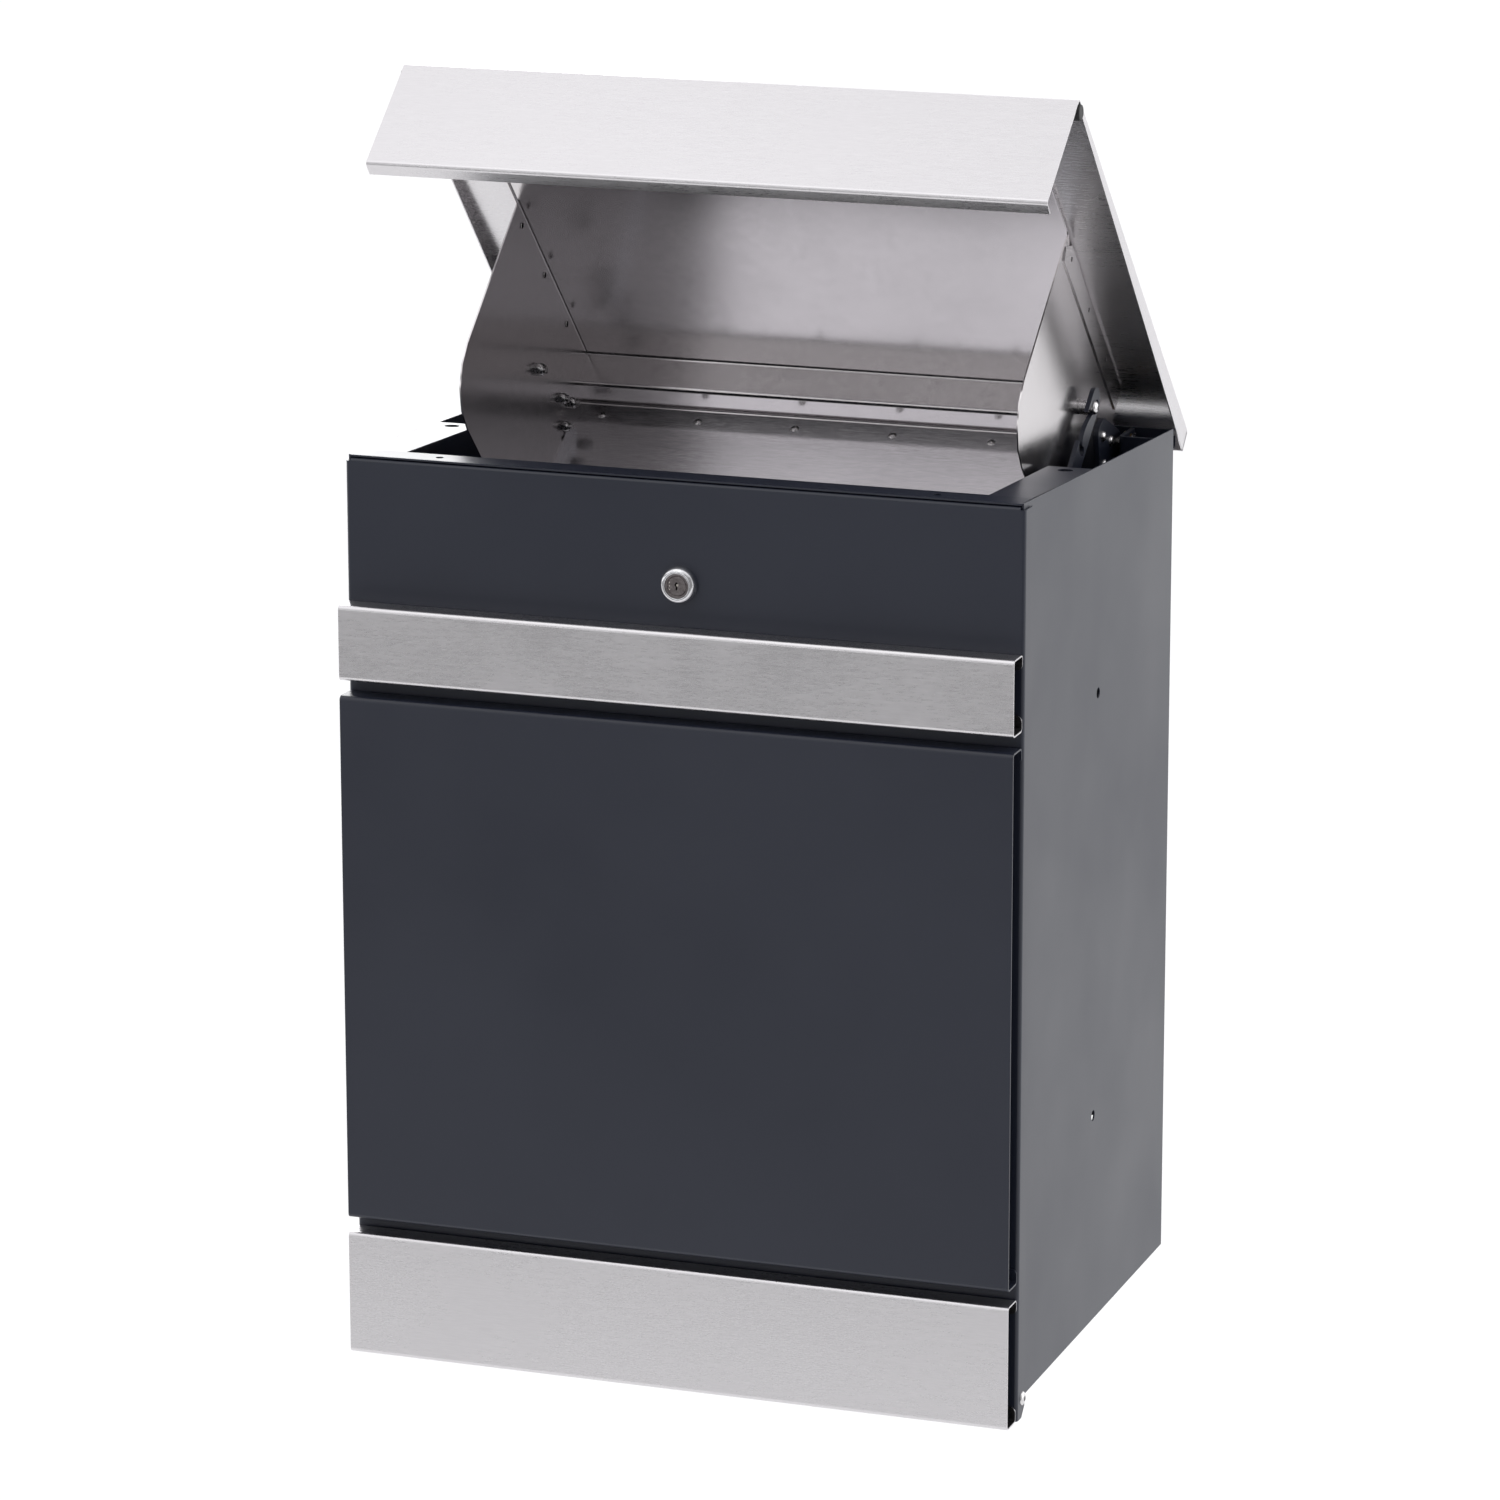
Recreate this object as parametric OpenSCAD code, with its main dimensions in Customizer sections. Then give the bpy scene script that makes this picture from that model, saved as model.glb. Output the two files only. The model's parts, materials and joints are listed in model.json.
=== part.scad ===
// Wall-mounted parcel drop box: a sheet-steel store with a bottom-hinged front door
// and a rear-hinged lid that carries a parcel hopper.
// Origin: centre of the wall-hole pattern on the outside of the back panel.
// +X to the right, +Y into the wall, +Z up. Millimetres.

/* [Overall size] */
// Width across the door's side flanges
door_w = 450; // [360:1:640]
// Depth of the case, from the door's face to the back
case_d = 333; // [290:1:460]
// Height of the case at its front edge
case_h = 582; // [480:1:760]
// Fall of the case's top edge, from front to back
top_fall = 18; // [8:1:26]

/* [Sheet metal] */
// Thickness of the painted steel sheet
steel_t = 1.2; // [1:0.1:1.5]
// Thickness of the stainless sheet
inox_t = 1.0; // [0.8:0.1:1.2]
// Bend radius at the middle of the sheet
bend_r = 1.8; // [1.2:0.1:2.4]
// Gap between the door's flanges and the case's sides
door_gap = 0.5; // [0.3:0.1:1]

/* [Door] */
// How far the door hangs below the case
door_drop = 11.5; // [10.5:0.1:13]
// Depth of the door's side flanges
door_flange = 15.4; // [14:0.1:20]
// Depth of the door's top and bottom flanges
door_lip = 8; // [5:0.5:9]
// Distance of the door's pivot behind the door's face
pivot_y = 10.5; // [9.5:0.1:11.5]
// Height of the door's pivot above the case's bottom
pivot_z = 1; // [0.5:0.1:2]
// Radius of the pivot screw's shank
pivot_r = 3; // [2:0.1:3.4]
// Height of the lock's centre below the case's top
lock_drop = 67; // [60:1:70]
// Radius of the lock's barrel
lock_r = 9.5; // [8:0.5:11]
// Radius of the lock's front ring
ring_r = 12.2; // [11:0.1:15]

/* [Covers] */
// How far the covers stand in front of the door
cover_d = 18.2; // [14:0.1:24]
// Distance from a cover's end to the door's edge
cover_inset = 1; // [0.5:0.1:4]
// Height of the upper strip
strip_h = 49; // [35:1:70]
// Height of the lower strip
low_strip_h = 82; // [60:1:110]
// Gap between two covers
cover_gap = 10; // [6:1:20]
// Depth of the covers' return lips
cover_lip = 10; // [6:1:14]

/* [Lid] */
// Angle between the open lid and the closed lid
open_angle = 45.2; // [35:0.5:46]
// How far the closed lid reaches in front of the door's face
lid_front = 16; // [10:1:20]
// How far the closed lid reaches behind the case
lid_rear = 16.6; // [15.5:0.1:22]
// Height of the closed lid's top over the case's front edge
lid_rise = 6.5; // [5.5:0.5:12]
// Distance from the lid's ends to the door's ends
lid_inset = 0.5; // [0.2:0.1:1.5]
// Length of the lid's front flange
front_flange = 85; // [70:1:88]
// Lean of the front flange, away from the door
flange_lean = 5.7; // [5:0.1:9]
// Depth of the front flange's return lip
return_lip = 10; // [4:0.5:12]
// Depth of the side lips at the front
lip_front = 4.5; // [4:0.5:8]
// Depth of the side lips and of the rear flange
lip_rear = 16; // [12:0.5:18]
// Distance of the lid's pivot in front of the case's back
hinge_in = 15; // [13:0.5:20]
// Depth of the lid's pivot below the closed lid's top
hinge_down = 32.5; // [31:0.5:40]
// Radius of the lid's pivot pins
hinge_r = 4; // [3:0.1:5]

/* [Hopper] */
// Distance from the hopper's plates to the case's sides
hopper_gap = 34.1; // [30:0.1:60]
// Where the hopper's plates end, in front of the lid's rear edge
plate_long = 222; // [180:1:240]
// Depth of the hopper's plates under the lid
plate_deep = 162; // [130:1:190]
// Radius of the plates' rounded corner
knee_r = 38; // [20:1:50]
// Lean of the hopper's tray towards the lid's front
tray_lean = 8; // [2:1:12]
// Length of the hopper's tray
tray_long = 368; // [250:1:380]

/* [Wall and side holes] */
// Distance between the wall holes, across
wall_x = 350; // [200:1:380]
// Distance between the wall holes, up
wall_z = 400; // [250:1:430]
// Radius of the wall holes
wall_r = 4; // [3:0.1:6]
// Distance between the holes in each side
side_z = 283; // [150:1:320]
// Radius of the holes in each side
side_r = 3.5; // [2.5:0.1:5]

/* [Hidden] */

$fn = 48;
fit = 0.05;                 // running clearance, on the radius
touch = 0.3;                // clearance between moving sheets
bend_steps = 4;
colour_dark = [0.20, 0.22, 0.27];
colour_inox = [0.72, 0.72, 0.73];
colour_zinc = [0.80, 0.80, 0.80];

// Case
half_door = door_w / 2;
side_out = half_door - steel_t - door_gap;
side_in = side_out - steel_t;
side_front = 2;
top_slope = atan(top_fall / (case_d - side_front));
back_in = case_d - steel_t;
rail_d = 20;
rail_drop = 40;
rail_top = case_h - steel_t;
rim_w = 30;
rim_end = 0.45 * case_d;
rim_hole_r = 5;
flange_w = 18;
floor_front = 27;
rivet_r = 1.6;
rivet_head_r = 3.2;
origin_z = case_h / 2 - 8;
gutter_d = 12;
gutter_top = case_h - top_fall - 4;
gutter_h = 12;

// Door
door_top = rail_top - 0.8;
lock_z = case_h - lock_drop;
lock_len = 24;
cover_half = half_door - cover_inset;
strip_top = case_h - 94;
panel_top = strip_top - strip_h - cover_gap;
low_top = low_strip_h - door_drop;
panel_bottom = low_top + cover_gap;
stiff_z = strip_top - strip_h / 2;
cam_tip = 41;
cam_t = 3;

// Lid, in a frame at the closed lid's rear top edge: +Y to the rear, +Z up
lid_y = case_d + lid_rear;
lid_z = case_h + lid_rise;
lid_len = lid_y + lid_front;
lid_half = half_door - lid_inset;
hinge_y = case_d - hinge_in;
hinge_z = lid_z - hinge_down;
pin_y = hinge_y - lid_y;
pin_z = -hinge_down;
buffer_r = 5.2;

// Hopper, in the lid's frame
plate_out = side_in - hopper_gap;
plate_in = plate_out - inox_t;
sheet_z = -inox_t - inox_t / 2;
step_front = -lid_rear - 31;
step_rear = -lid_rear - 8.5;
step_z = -hinge_down + 6;
seam_w = 20;
bolt_y = pin_y - 27;
bolt_z = pin_z - 21;
bolt_spots = [[-9, 1], [8, 9], [8, -10]];
bolt_r = 2.5;
bolt_head_r = 3.8;
arm_t = 3;
stay_y = -117;
stay_z = -63;
stay_r = 3;
stay_gap = 6.5;
stay_x = plate_out + stay_gap;
stay_slope = 40;
stay_len = 150;
stay_ratio = -0.58;
stay_w = 17;
nut_r = 3.8;
stay_nut_r = 4.4;
stay_head_r = 4.6;
pivot_head_r = 4.5;
seam_head_r = rivet_r + 0.4;
bolt_x = plate_out + arm_t;

// A point of the lid's frame, carried by the lid when it has closed by an angle
function turned(p, a) = [p[0] * cos(a) - p[1] * sin(a), p[0] * sin(a) + p[1] * cos(a)];
function lid_point(y, z, closed) =
    [hinge_y, hinge_z] + turned([y - pin_y, z - pin_z], closed - open_angle);

// Stay: its post on the case, and the path of the lid's bolt in the stay's own frame
stay_top = lid_point(stay_y, stay_z, 0);
stay_post = stay_top - stay_len * [cos(stay_slope), sin(stay_slope)];
stay_steps = 12;
function stay_path(a) = turned(lid_point(stay_y, stay_z, a) - stay_post, -stay_ratio * a);
slot_path = [for (i = [-1 : stay_steps + 1]) stay_path(i * open_angle / stay_steps)];

// Bent sheet: a path with rounded corners, thickened to both sides
function unit(v) = v / norm(v);
function corner(a, b, c, r) = let (
    u = unit(a - b), w = unit(c - b), half = acos(u * w) / 2,
    start = b + u * r / tan(half), mid = b + unit(u + w) * r / sin(half),
    turn = sign(cross(b - a, c - b)) * (180 - 2 * half),
    from = start - mid
) [for (i = [0 : bend_steps]) mid + turned(from, turn * i / bend_steps)];
function rounded(p, r) = [p[0], for (i = [1 : len(p) - 2]) each corner(p[i - 1], p[i], p[i + 1], r), p[len(p) - 1]];
function ring(p, r) = let (n = len(p)) [for (i = [0 : n - 1]) each corner(p[(i + n - 1) % n], p[i], p[(i + 1) % n], r)];
function along(q, i) = let (last = len(q) - 1, a = q[max(i - 1, 0)], b = q[i], c = q[min(i + 1, last)])
    i == 0 ? unit(c - b) : i == last ? unit(b - a) : unit(unit(b - a) + unit(c - b));
function beside(q, d) = [for (i = [0 : len(q) - 1]) let (u = along(q, i)) q[i] + d * [-u[1], u[0]]];
function reversed(q) = [for (i = [len(q) - 1 : -1 : 0]) q[i]];
function band(q, w) = concat(beside(q, w / 2), reversed(beside(q, -w / 2)));
function sheet(p, t, r = bend_r) = band(rounded(p, r), t);

// Places the whole box, drawn with the door's face at y = 0 and the case's bottom at z = 0
module place() { translate([0, -case_d, -origin_z]) children(); }

// Draws a YZ outline from x0 to x1
module across(x0, x1) {
    translate([x0, 0, 0]) rotate([90, 0, 90]) linear_extrude(height = x1 - x0) children();
}

// Carries a shape from the lid's frame to the open lid
module on_lid() {
    place() translate([0, hinge_y, hinge_z]) rotate([-open_angle, 0, 0])
        translate([0, -pin_y, -pin_z]) children();
}

module both_sides() {
    children();
    mirror([1, 0, 0]) children();
}

// A round bar or hole along X
module bar(x0, x1, y, z, r) { translate([x0, y, z]) rotate([0, 90, 0]) cylinder(h = x1 - x0, r = r); }

// A domed head on a face across X, its flat side at x, pointing to +X
module head(x, y, z, r, h) {
    translate([x, y, z]) rotate([0, 90, 0]) rotate_extrude() intersection() {
        translate([0, h - (r * r + h * h) / (2 * h)]) circle(r = (r * r + h * h) / (2 * h), $fn = 96);
        square([r + 1, h + 1]);
    }
}

function top_at(y) = case_h - (y - side_front) * tan(top_slope);

// Case sides: s is 1 on the right and -1 on the left
side_hole_y = case_d / 2;
side_hole_z = [for (k = [-0.5, 0.5]) origin_z + k * side_z];

module side_panel(s) {
    rim = rail_d + 2.5;
    color(colour_dark) place() scale([s, 1, 1]) difference() {
        union() {
            across(side_in, side_out) {
                polygon([[side_front, 0], [case_d, 0], [case_d, top_at(case_d)], [side_front, top_at(side_front)]]);
                translate([pivot_y, pivot_z]) circle(r = ear_r);
            }
            across(side_out - rim_w, side_out - 0.1) polygon([
                [rim, top_at(rim)], [rim_end, top_at(rim_end)],
                [rim_end, top_at(rim_end) - steel_t], [rim, top_at(rim) - steel_t]]);
        }
        bar(side_in - 1, side_out + 1, pivot_y, pivot_z, pivot_r + fit);
        for (z = side_hole_z) bar(side_in - 1, side_out + 1, side_hole_y, z, side_r);
        translate([side_out - rim_w / 2, rim_end - 12, case_h - 40]) cylinder(h = 60, r = rim_hole_r);
    }
}
ear_r = 7.5;

module back_panel() {
    x = side_in - steel_t / 2;
    y = case_d - steel_t / 2;
    color(colour_dark) place() difference() {
        linear_extrude(height = top_at(case_d) - 0.5)
            polygon(sheet([[-x, back_in - flange_w], [-x, y], [x, y], [x, back_in - flange_w]], steel_t));
        for (x = [-wall_x / 2, wall_x / 2], z = [origin_z - wall_z / 2, origin_z + wall_z / 2])
            translate([x, case_d + 1, z]) rotate([90, 0, 0]) cylinder(h = steel_t + 2, r = wall_r);
    }
}

module floor_panel() {
    y0 = floor_front + steel_t / 2;
    y1 = back_in - steel_t / 2;
    z = steel_t / 2;
    x = side_in - steel_t / 2;
    color(colour_dark) place() {
        across(-side_in + 4, side_in - 4)
            polygon(sheet([[y0, flange_w], [y0, z], [y1, z], [y1, flange_w]], steel_t));
        both_sides() translate([0, back_in - flange_w - 4, 0]) rotate([90, 0, 0])
            linear_extrude(height = back_in - flange_w - 8 - floor_front)
                polygon(sheet([[x, flange_w + 4], [x, z], [x - 12, z]], steel_t));
    }
}

// The rail under the lid's front edge, with a down-turned flange for the lock's cam
module front_rail() {
    y = rail_d + 2 - steel_t / 2;
    z = case_h - steel_t / 2;
    color(colour_dark) place() difference() {
        union() {
            across(-side_in, side_in)
                polygon(sheet([[1.4, z], [y, z], [y, case_h - rail_drop]], steel_t));
            both_sides() translate([side_in - steel_t, door_lip + 3, case_h - rail_drop])
                cube([steel_t, rail_d - door_lip - 2, rail_drop - steel_t / 2]);
        }
        for (x = [-165, 165]) translate([x, rail_d / 2 + 1, case_h - 5]) cylinder(h = 10, r = 2.5);
    }
}

module rear_gutter() {
    y0 = case_d + steel_t / 2;
    y1 = case_d + gutter_d - steel_t / 2;
    z = gutter_top - gutter_h + steel_t / 2;
    color(colour_dark) place() across(-side_out + 2, side_out - 2)
        polygon(sheet([[y0, gutter_top], [y0, z], [y1, z], [y1, gutter_top - 3]], steel_t));
}

// A Z-shaped bracket on the case's side, with a bush for the lid's pivot pin
bracket_x = side_in - 25;
module hinge_bracket(s) {
    foot = side_in - arm_t / 2;
    color(colour_dark) place() scale([s, 1, 1]) difference() {
        translate([0, 0, hinge_z - 15]) linear_extrude(height = 23)
            polygon(sheet([[foot, hinge_y - 37], [foot, hinge_y - 19], [bracket_x, hinge_y - 19],
                [bracket_x, hinge_y + 10]], arm_t, 3));
        bar(bracket_x - 5, bracket_x + 5, hinge_y, hinge_z, bush_r);
    }
}
bush_r = hinge_r + 2;

module hinge_bushes() {
    color(colour_zinc) place() both_sides() difference() {
        union() {
            bar(bracket_x - arm_t / 2, bracket_x + arm_t / 2 + 0.8, hinge_y, hinge_z, bush_r);
            bar(bracket_x - arm_t / 2 - 1.5, bracket_x - arm_t / 2, hinge_y, hinge_z, bush_r + 1.5);
        }
        bar(bracket_x - 9, bracket_x + 9, hinge_y, hinge_z, hinge_r + fit);
    }
}

// Posts on the case's sides that the stays turn on
post_r = 5;
shoulder_r = 4;
module stay_posts() {
    y = stay_post[0];
    z = stay_post[1];
    color(colour_zinc) place() both_sides() difference() {
        union() {
            bar(stay_x + arm_t + touch, side_in, y, z, post_r);
            bar(stay_x - 0.2, stay_x + arm_t + touch, y, z, shoulder_r);
        }
        bar(stay_x - 1, stay_x + 12, y, z, 2);
    }
}

module stay_screws() {
    y = stay_post[0];
    z = stay_post[1];
    color(colour_zinc) place() both_sides() {
        bar(stay_x - 0.2, stay_x + 11, y, z, 2);
        mirror([1, 0, 0]) head(0.2 - stay_x, y, z, 6, 1.8);
    }
}

// The stay: a flat bar with a slightly curved slot for the lid's bolt
module stay_arm(s) {
    long = norm(slot_path[0]) + stay_w / 2;
    color(colour_dark) place() scale([s, 1, 1]) translate([0, stay_post[0], stay_post[1]])
        across(stay_x, stay_x + arm_t) difference() {
            rotate(stay_slope) union() {
                translate([0, -stay_w / 2]) square([long - stay_w / 2, stay_w]);
                circle(d = stay_w);
                translate([long - stay_w / 2, 0]) circle(d = stay_w);
            }
            circle(r = shoulder_r + fit);
            polygon(band(slot_path, 2 * (stay_r + touch)));
            for (p = [slot_path[0], slot_path[len(slot_path) - 1]]) translate(p) circle(r = stay_r + touch);
        }
}

// Door
cover_rivet_x = [for (i = [-1 : 1]) i * (cover_half - 40)];
cover_rows = [strip_top - strip_h + cover_lip / 2 + 1, strip_top - cover_lip / 2 - 1,
    panel_bottom + cover_lip / 2 + 1, panel_top - cover_lip / 2 - 1,
    cover_lip / 2 + 1 - door_drop, low_top - cover_lip / 2 - 1];

module along_y(x, z, y0, y1, r) { translate([x, y1, z]) rotate([90, 0, 0]) cylinder(h = y1 - y0, r = r); }

module door_shell() {
    x = half_door - steel_t / 2;
    y = steel_t / 2;
    foot = steel_t / 2 - door_drop;
    color(colour_dark) place() difference() {
        union() {
            translate([0, 0, -door_drop]) linear_extrude(height = door_top + door_drop - bend_r)
                polygon(sheet([[-x, door_flange], [-x, y], [x, y], [x, door_flange]], steel_t));
            across(-side_in + 0.6, side_in - 0.6)
                polygon(sheet([[door_lip, foot], [y, foot], [y, door_top - y], [door_lip, door_top - y]], steel_t));
        }
        along_y(0, lock_z, -1, steel_t + 1, lock_r);
        for (x = cover_rivet_x, z = cover_rows) along_y(x, z, -1, steel_t + 1, rivet_r);
        both_sides() bar(side_out, half_door + 1, pivot_y, pivot_z, pivot_r);
        both_sides() translate([half_door - 3, door_flange, -door_drop]) rotate([45, 0, 0])
            cube([6, 9, 9], center = true);
    }
}

// A C-shaped cover between two heights, with return lips on the door's face
module cover(z0, z1, t, colour) {
    y0 = -cover_d + t / 2;
    y1 = -t / 2;
    color(colour) place() difference() {
        across(-cover_half, cover_half) polygon(sheet([
            [y1, z0 + cover_lip], [y1, z0 + t / 2], [y0, z0 + t / 2],
            [y0, z1 - t / 2], [y1, z1 - t / 2], [y1, z1 - cover_lip]], t, cover_bend));
        for (x = cover_rivet_x, z = cover_rows) along_y(x, z, -t - 1, 1, rivet_r);
        lip_corner(z0 + cover_lip, 1);
        lip_corner(z1 - cover_lip, -1);
    }
}
cover_bend = 2.4;
lip_round = 3.5;

// Cuts the round corners of a return lip that ends at a height
module lip_corner(z, up) {
    both_sides() translate([cover_half - lip_round, 0, z]) scale([1, 1, up]) difference() {
        translate([0, -4, -lip_round]) cube([lip_round + 1, 5, lip_round + 1]);
        along_y(0, -lip_round, -5, 2, lip_round);
    }
}

module cover_rivets() {
    color(colour_zinc) place() for (x = cover_rivet_x, k = [0 : 5]) {
        t = k == 2 || k == 3 ? steel_t : inox_t;
        along_y(x, cover_rows[k], -t, steel_t, rivet_r);
        along_y(x, cover_rows[k], steel_t, steel_t + 0.8, rivet_head_r - 0.4);
        along_y(x, cover_rows[k], -t - 0.8, -t, rivet_r + 0.6);
    }
}

module door_stiffener() {
    y = steel_t * 1.5;
    color(colour_dark) place() across(-side_in + 20, side_in - 20) polygon(sheet([
        [y + 11, stiff_z - 11], [y, stiff_z - 11], [y, stiff_z + 11], [y + 11, stiff_z + 11]], steel_t));
}

module door_pivot_screws() {
    color(colour_zinc) place() both_sides() {
        bar(side_in - 6, half_door, pivot_y, pivot_z, pivot_r);
        difference() {
            head(half_door, pivot_y, pivot_z, pivot_head_r, 2.2);
            translate([half_door + 1.2, pivot_y, pivot_z]) rotate([0, 90, 0]) cylinder(h = 3, r = 2.2, $fn = 6);
        }
    }
}

module nut(x0, x1, y, z, r, bore) {
    translate([x0, y, z]) rotate([0, 90, 0]) difference() {
        cylinder(h = x1 - x0, r = r, $fn = 6);
        translate([0, 0, -1]) cylinder(h = x1 - x0 + 2, r = bore);
    }
}

module door_pivot_nuts() {
    color(colour_zinc) place() both_sides() nut(side_in - 5, side_in - touch, pivot_y, pivot_z, 5.6, pivot_r);
}

plug_r = lock_r - 1.6;
ring_round = 4.2;
ring_h = 6.5;
module lock_body() {
    color(colour_zinc) place() difference() {
        union() {
            along_y(0, lock_z, 0, lock_len - 2, lock_r);
            translate([0, 0, lock_z]) rotate([90, 0, 0]) rotate_extrude() intersection() {
                translate([ring_r - ring_round, 0]) scale([1, ring_h / ring_round]) circle(r = ring_round);
                square([ring_r + 1, ring_h + 1]);
            }
        }
        along_y(0, lock_z, -12, lock_len + 1, plug_r + fit);
    }
}

module lock_nut() {
    color(colour_zinc) place() difference() {
        along_y(0, lock_z, steel_t, steel_t + 5, lock_r + 4);
        along_y(0, lock_z, 0, 9, lock_r);
    }
}

module lock_plug() {
    color(colour_zinc) place() difference() {
        union() {
            along_y(0, lock_z, 0.5 - ring_h, lock_len - 1, plug_r);
            along_y(0, lock_z, lock_len - 1, lock_len - 1 + cam_t, 4);
        }
        translate([-1.1, -ring_h, lock_z - 5]) cube([2.2, ring_h + 12, 7]);
        along_y(0, lock_z, -ring_h, 8, 2);
        along_y(0, lock_z, lock_len - 6, lock_len + 9, 2);
    }
}

// The cam lies to the left when the lock is open and stands up behind the rail when it is shut
module lock_cam() {
    color(colour_zinc) place() translate([0, lock_len - 1 + cam_t, lock_z]) rotate([90, 0, 0])
        linear_extrude(height = cam_t) difference() {
            union() {
                translate([-cam_tip + 6, -6]) square([cam_tip - 6, 12]);
                circle(r = 8.5);
                translate([-cam_tip + 6, 0]) circle(r = 6);
            }
            circle(r = 4);
        }
}

module lock_cam_screw() {
    y = lock_len - 1 + cam_t;
    color(colour_zinc) place() {
        along_y(0, lock_z, lock_len - 6, y, 2);
        along_y(0, lock_z, y, y + 2.4, 5.5);
    }
}

// Lid
apex = [-lid_len + inox_t / 2, -inox_t / 2];
flange_foot = apex + front_flange * [-sin(flange_lean), -cos(flange_lean)];
flange_end = flange_foot + return_lip * [cos(flange_lean), -sin(flange_lean)];
lip_start = -lid_len + 2 * buffer_r + 2;

module lid_shell() {
    rear = -inox_t / 2;
    color(colour_inox) on_lid() {
        across(-lid_half, lid_half)
            polygon(sheet([flange_end, flange_foot, apex, [rear, rear], [rear, -lip_rear]], inox_t, lid_bend));
        both_sides() across(lid_half - inox_t, lid_half) polygon([
            [lip_start, rear], [-lid_bend, rear], [-2, -lip_rear], [lip_start, -lip_front]]);
    }
}
lid_bend = 2.2;

module corner_buffers() {
    color([0.05, 0.05, 0.05]) on_lid() both_sides()
        bar(lid_half - 14, lid_half + 1.5, -lid_len + buffer_r + 1, -inox_t - buffer_r, buffer_r);
}

// Hopper
tray_down = [-sin(tray_lean), -cos(tray_lean)];
tray_side = [-cos(tray_lean), sin(tray_lean)];
lap = 18;
lip_end = [step_rear, step_z] + lap * tray_down;
tray_top = [step_rear, step_z] + 3 * tray_down + inox_t * tray_side;
tray_end = tray_top + tray_long * tray_down;
tray_rivet = [step_rear, step_z] + 12 * tray_down;
tray_rivet_x = [for (i = [0 : 5]) (i - 2.5) * 2 * (plate_in - 15) / 5];
seam_rivets = [for (i = [0 : 2]) [step_front - 46 - i * (plate_long - 62 + step_front) / 2, -seam_w / 2]];
seam_bend = 1.8;
seam_gap = 1.5;
step_bend = 2.2;
plate_top = -2 * inox_t - seam_gap;

module hopper_back() {
    front = -lid_len + 24;
    wide = plate_out + inox_t;
    seam_x = wide - inox_t / 2;
    color(colour_inox) on_lid() difference() {
        union() {
            intersection() {
                across(-wide, wide) polygon([[front, 0], [step_front - 3, 0], [step_front - 3, -seam_w],
                    [-plate_long + 4, -seam_w], [-plate_long, -seam_w + 8], [-plate_long + 10, plate_top],
                    [front, plate_top]]);
                rotate([90, 0, 0]) linear_extrude(height = lid_len) polygon(sheet([[-seam_x, -seam_w - 1],
                    [-seam_x, sheet_z], [seam_x, sheet_z], [seam_x, -seam_w - 1]], inox_t, seam_bend));
            }
            across(-plate_in, plate_in) polygon(sheet([[step_front - 12, sheet_z], [step_front, sheet_z],
                [step_front, step_z], [step_rear, step_z], lip_end], inox_t, step_bend));
        }
        both_sides() for (p = seam_rivets) bar(plate_in - 1, wide + 1, p[0], p[1], rivet_r);
        for (x = tray_rivet_x) tray_bar(x, -2, 2, rivet_r);
    }
}

// A bar through the tray's upper edge, square to the tray
module tray_bar(x, from, to, r) {
    translate([x, tray_rivet[0], tray_rivet[1]]) rotate([90 - tray_lean, 0, 0])
        translate([0, 0, from]) cylinder(h = to - from, r = r);
}

knee = corner([-plate_long, plate_top], [-plate_long - 12, -plate_deep], [step_rear, -plate_deep], knee_r);
module hopper_side(s) {
    foot = [step_rear, step_z] + (plate_deep + step_z) / cos(tray_lean) * tray_down;
    outline = concat([[-plate_long, plate_top]], knee,
        [foot + [inox_t, 0], [step_rear + inox_t / 2, step_z + inox_t / 2],
        [step_front + inox_t / 2, step_z + inox_t / 2], [step_front + inox_t / 2, plate_top]]);
    color(colour_inox) on_lid() scale([s, 1, 1]) difference() {
        across(plate_in, plate_out) polygon(outline);
        for (p = seam_rivets) bar(plate_in - 1, plate_out + 1, p[0], p[1], rivet_r);
        for (p = bolt_spots) bar(plate_in - 1, plate_out + 1, bolt_y + p[0], bolt_z + p[1], bolt_r);
        bar(plate_in - 1, plate_out + 1, stay_y, stay_z, stay_r);
    }
}

module hopper_tray() {
    color(colour_inox) on_lid() difference() {
        union() {
            across(-plate_in, plate_in)
                polygon(sheet([tray_top, tray_end, tray_end - 9 * tray_side], inox_t));
            both_sides() across(plate_in - inox_t, plate_in) polygon([
                tray_top + 22 * tray_down, tray_end, tray_end + 8 * tray_side,
                tray_top + 34 * tray_down + 14 * tray_side]);
        }
        for (x = tray_rivet_x) tray_bar(x, -2, 3, rivet_r);
    }
}

module tray_rivets() {
    front = 1.5 * inox_t;
    color(colour_zinc) on_lid() for (x = tray_rivet_x) {
        tray_bar(x, -inox_t / 2, front, rivet_r);
        tray_bar(x, front, front + 0.9, rivet_head_r - 0.4);
        tray_bar(x, -inox_t / 2 - 0.8, -inox_t / 2, rivet_r + 0.6);
    }
}

module hopper_rivets() {
    wide = plate_out + inox_t;
    color(colour_zinc) on_lid() both_sides() for (p = seam_rivets) {
        bar(plate_in, wide, p[0], p[1], rivet_r);
        bar(wide, wide + 0.4, p[0], p[1], seam_head_r);
        bar(plate_in - 0.5, plate_in, p[0], p[1], seam_head_r);
    }
}

// A plate bolted to the hopper's side that carries the pivot pin
module hinge_arm(s) {
    color(colour_dark) on_lid() scale([s, 1, 1]) across(plate_out, plate_out + arm_t) difference() {
        polygon(ring([[pin_y + 10, pin_z + 12], [bolt_y + 14, bolt_z - 25],
            [bolt_y - 21, bolt_z - 3], [bolt_y - 16, bolt_z + 11]], 8));
        translate([pin_y, pin_z]) circle(r = hinge_r);
        for (p = bolt_spots) translate([bolt_y, bolt_z] + p) circle(r = bolt_r);
    }
}

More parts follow.
